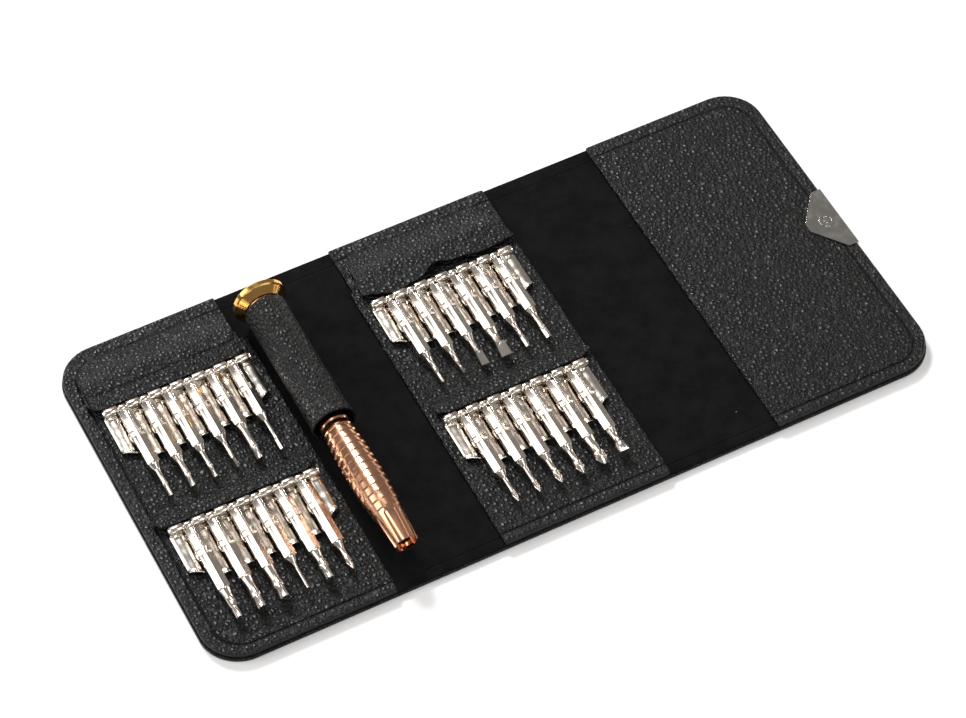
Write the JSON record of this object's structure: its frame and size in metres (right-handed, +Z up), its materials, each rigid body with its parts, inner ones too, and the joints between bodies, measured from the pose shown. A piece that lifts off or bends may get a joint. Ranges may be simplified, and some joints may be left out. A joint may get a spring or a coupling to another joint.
{
  "type": "precision screwdriver set",
  "caption": "Folding leather wallet of precision screwdriver bits that swing out on clip racks, with a ribbed metal driver handle in a leather sleeve.",
  "frame": {"origin": "middle of the open wallet's underside", "axes": "+X across the open wallet towards the closing flap, +Y towards the end where the handle's cap is, +Z up"},
  "size_m": [0.228, 0.116, 0.0189],
  "materials": {
    "grained_leather": "black pebble-grained leather with a low sheen",
    "suede": "matte black suede",
    "nickel_plate": "bright nickel plate",
    "copper_anodised": "satin copper-coloured anodising",
    "gold_plate": "polished gold-coloured plate",
    "dark_nickel": "dark nickel plate",
    "steel": "plain steel"
  },
  "bodies": {
    "centre_panel": {"centre_cover": "grained_leather", "centre_facing": "grained_leather", "centre_lining": "suede", "centre_low_flap": "grained_leather", "centre_low_rack": "nickel_plate", "centre_rack_pins": "nickel_plate", "centre_rack_rivets": "nickel_plate", "centre_top_flap": "grained_leather", "centre_top_rack": "nickel_plate"},
    "bend": {"bend_cover": "grained_leather", "bend_lining": "suede"},
    "handle_strip": {"handle_strip_cover": "grained_leather", "handle_strip_lining": "suede", "handle_sleeve": "grained_leather"},
    "left_panel": {"left_cover": "grained_leather", "left_facing": "grained_leather", "left_lining": "suede", "left_low_flap": "grained_leather", "left_low_rack": "nickel_plate", "left_rack_pins": "nickel_plate", "left_rack_rivets": "nickel_plate", "left_top_flap": "grained_leather", "left_top_rack": "nickel_plate", "keeper_plate": "steel"},
    "closing_spine": {"closing_spine_cover": "grained_leather", "closing_spine_lining": "suede"},
    "closing_flap": {"closing_flap_cover": "grained_leather", "closing_flap_lining": "suede", "closing_flap_facing": "grained_leather", "badge_plate": "dark_nickel", "closing_magnets": "steel"},
    "handle": {"handle_body": "copper_anodised", "socket_magnet": "steel", "cap_axle": "steel"},
    "cap": {"handle_cap": "gold_plate"},
    "centre_low_1_clip": {"centre_low_1_cross_bit_in_clip": "nickel_plate"},
    "centre_low_2_clip": {"centre_low_2_cross_bit_in_clip": "nickel_plate"},
    "centre_low_3_clip": {"centre_low_3_cross_bit_in_clip": "nickel_plate"},
    "centre_low_4_clip": {"centre_low_4_cross_bit_in_clip": "nickel_plate"},
    "centre_low_5_clip": {"centre_low_5_cross_bit_in_clip": "nickel_plate"},
    "centre_low_6_clip": {"centre_low_6_triangle_bit_in_clip": "nickel_plate"},
    "centre_top_1_clip": {"centre_top_1_five_lobe_bit_in_clip": "nickel_plate"},
    "centre_top_2_clip": {"centre_top_2_tri_lobe_bit_in_clip": "nickel_plate"},
    "centre_top_3_clip": {"centre_top_3_slot_bit_in_clip": "nickel_plate"},
    "centre_top_4_clip": {"centre_top_4_slot_bit_in_clip": "nickel_plate"},
    "centre_top_5_clip": {"centre_top_5_hex_bit_in_clip": "nickel_plate"},
    "centre_top_6_clip": {"centre_top_6_hex_bit_in_clip": "nickel_plate"},
    "left_low_1_clip": {"left_low_1_star_bit_in_clip": "nickel_plate"},
    "left_low_2_clip": {"left_low_2_star_bit_in_clip": "nickel_plate"},
    "left_low_3_clip": {"left_low_3_star_bit_in_clip": "nickel_plate"},
    "left_low_4_clip": {"left_low_4_pin_bit_in_clip": "nickel_plate"},
    "left_low_5_clip": {"left_low_5_star_bit_in_clip": "nickel_plate"},
    "left_low_6_clip": {"left_low_6_cross_bit_in_clip": "nickel_plate"},
    "left_top_1_clip": {"left_top_1_five_lobe_bit_in_clip": "nickel_plate"},
    "left_top_2_clip": {"left_top_2_star_bit_in_clip": "nickel_plate"},
    "left_top_3_clip": {"left_top_3_star_bit_in_clip": "nickel_plate"},
    "left_top_4_clip": {"left_top_4_tri_lobe_bit_in_clip": "nickel_plate"},
    "left_top_5_clip": {"left_top_5_star_bit_in_clip": "nickel_plate"},
    "left_top_6_clip": {"left_top_6_hex_bit_in_clip": "nickel_plate"}
  },
  "joints": [
    {"name": "left_bend_fold", "type": "hinge", "parent": "centre_panel", "child": "bend", "pos_m": [-0.03414, 0, 0.002], "axis": [0, -1, 0], "range_deg": [-75.2, 0], "deforming": ["bend_cover", "bend_lining"]},
    {"name": "left_strip_fold", "type": "hinge", "parent": "bend", "child": "handle_strip", "pos_m": [-0.04895, 0, 0.002], "axis": [0, -1, 0], "range_deg": [-75.2, 0]},
    {"name": "left_panel_fold", "type": "hinge", "parent": "handle_strip", "child": "left_panel", "pos_m": [-0.0552, 0, 0.002], "axis": [0, -1, 0], "range_deg": [-29.7, 0]},
    {"name": "closing_spine_fold", "type": "hinge", "parent": "centre_panel", "child": "closing_spine", "pos_m": [0.0325, 0, 0.002], "axis": [0, 1, 0], "range_deg": [-90, 0]},
    {"name": "closing_flap_fold", "type": "hinge", "parent": "closing_spine", "child": "closing_flap", "pos_m": [0.0545, 0, 0.002], "axis": [0, 1, 0], "range_deg": [-90, 0]},
    {"name": "handle_pull", "type": "slide", "parent": "handle_strip", "child": "handle", "axis": [0, 1, 0], "range_m": [0, 0.075]},
    {"name": "cap_spin", "type": "hinge", "parent": "handle", "child": "cap", "pos_m": [-0.0529, 0.045, 0.0107], "axis": [0, 1, 0], "continuous": true},
    {"name": "centre_low_1_swing", "type": "hinge", "parent": "centre_panel", "child": "centre_low_1_clip", "pos_m": [-0.0178, -0.0142, 0.005], "axis": [-1, 0, 0], "range_deg": [0, 105]},
    {"name": "centre_low_2_swing", "type": "hinge", "parent": "centre_panel", "child": "centre_low_2_clip", "pos_m": [-0.011, -0.0142, 0.005], "axis": [-1, 0, 0], "range_deg": [0, 105]},
    {"name": "centre_low_3_swing", "type": "hinge", "parent": "centre_panel", "child": "centre_low_3_clip", "pos_m": [-0.0042, -0.0142, 0.005], "axis": [-1, 0, 0], "range_deg": [0, 105]},
    {"name": "centre_low_4_swing", "type": "hinge", "parent": "centre_panel", "child": "centre_low_4_clip", "pos_m": [0.0026, -0.0142, 0.005], "axis": [-1, 0, 0], "range_deg": [0, 105]},
    {"name": "centre_low_5_swing", "type": "hinge", "parent": "centre_panel", "child": "centre_low_5_clip", "pos_m": [0.0094, -0.0142, 0.005], "axis": [-1, 0, 0], "range_deg": [0, 105]},
    {"name": "centre_low_6_swing", "type": "hinge", "parent": "centre_panel", "child": "centre_low_6_clip", "pos_m": [0.0162, -0.0142, 0.005], "axis": [-1, 0, 0], "range_deg": [0, 105]},
    {"name": "centre_top_1_swing", "type": "hinge", "parent": "centre_panel", "child": "centre_top_1_clip", "pos_m": [-0.0178, 0.032, 0.005], "axis": [-1, 0, 0], "range_deg": [0, 105]},
    {"name": "centre_top_2_swing", "type": "hinge", "parent": "centre_panel", "child": "centre_top_2_clip", "pos_m": [-0.011, 0.032, 0.005], "axis": [-1, 0, 0], "range_deg": [0, 105]},
    {"name": "centre_top_3_swing", "type": "hinge", "parent": "centre_panel", "child": "centre_top_3_clip", "pos_m": [-0.0042, 0.032, 0.005], "axis": [-1, 0, 0], "range_deg": [0, 105]},
    {"name": "centre_top_4_swing", "type": "hinge", "parent": "centre_panel", "child": "centre_top_4_clip", "pos_m": [0.0026, 0.032, 0.005], "axis": [-1, 0, 0], "range_deg": [0, 105]},
    {"name": "centre_top_5_swing", "type": "hinge", "parent": "centre_panel", "child": "centre_top_5_clip", "pos_m": [0.0094, 0.032, 0.005], "axis": [-1, 0, 0], "range_deg": [0, 105]},
    {"name": "centre_top_6_swing", "type": "hinge", "parent": "centre_panel", "child": "centre_top_6_clip", "pos_m": [0.0162, 0.032, 0.005], "axis": [-1, 0, 0], "range_deg": [0, 105]},
    {"name": "left_low_1_swing", "type": "hinge", "parent": "left_panel", "child": "left_low_1_clip", "pos_m": [-0.1021, -0.0131, 0.005], "axis": [-1, 0, 0], "range_deg": [0, 105]},
    {"name": "left_low_2_swing", "type": "hinge", "parent": "left_panel", "child": "left_low_2_clip", "pos_m": [-0.0953, -0.0131, 0.005], "axis": [-1, 0, 0], "range_deg": [0, 105]},
    {"name": "left_low_3_swing", "type": "hinge", "parent": "left_panel", "child": "left_low_3_clip", "pos_m": [-0.0885, -0.0131, 0.005], "axis": [-1, 0, 0], "range_deg": [0, 105]},
    {"name": "left_low_4_swing", "type": "hinge", "parent": "left_panel", "child": "left_low_4_clip", "pos_m": [-0.0817, -0.0131, 0.005], "axis": [-1, 0, 0], "range_deg": [0, 105]},
    {"name": "left_low_5_swing", "type": "hinge", "parent": "left_panel", "child": "left_low_5_clip", "pos_m": [-0.0749, -0.0131, 0.005], "axis": [-1, 0, 0], "range_deg": [0, 105]},
    {"name": "left_low_6_swing", "type": "hinge", "parent": "left_panel", "child": "left_low_6_clip", "pos_m": [-0.0681, -0.0131, 0.005], "axis": [-1, 0, 0], "range_deg": [0, 105]},
    {"name": "left_top_1_swing", "type": "hinge", "parent": "left_panel", "child": "left_top_1_clip", "pos_m": [-0.1021, 0.0319, 0.005], "axis": [-1, 0, 0], "range_deg": [0, 105]},
    {"name": "left_top_2_swing", "type": "hinge", "parent": "left_panel", "child": "left_top_2_clip", "pos_m": [-0.0953, 0.0319, 0.005], "axis": [-1, 0, 0], "range_deg": [0, 105]},
    {"name": "left_top_3_swing", "type": "hinge", "parent": "left_panel", "child": "left_top_3_clip", "pos_m": [-0.0885, 0.0319, 0.005], "axis": [-1, 0, 0], "range_deg": [0, 105]},
    {"name": "left_top_4_swing", "type": "hinge", "parent": "left_panel", "child": "left_top_4_clip", "pos_m": [-0.0817, 0.0319, 0.005], "axis": [-1, 0, 0], "range_deg": [0, 105]},
    {"name": "left_top_5_swing", "type": "hinge", "parent": "left_panel", "child": "left_top_5_clip", "pos_m": [-0.0749, 0.0319, 0.005], "axis": [-1, 0, 0], "range_deg": [0, 105]},
    {"name": "left_top_6_swing", "type": "hinge", "parent": "left_panel", "child": "left_top_6_clip", "pos_m": [-0.0681, 0.0319, 0.005], "axis": [-1, 0, 0], "range_deg": [0, 105]}
  ],
  "couplings": [
    {"joint": "left_strip_fold", "follows": "left_bend_fold", "ratio": 1},
    {"joint": "left_panel_fold", "follows": "left_bend_fold", "ratio": 0.39362},
    {"joint": "closing_flap_fold", "follows": "closing_spine_fold", "ratio": 1}
  ]
}
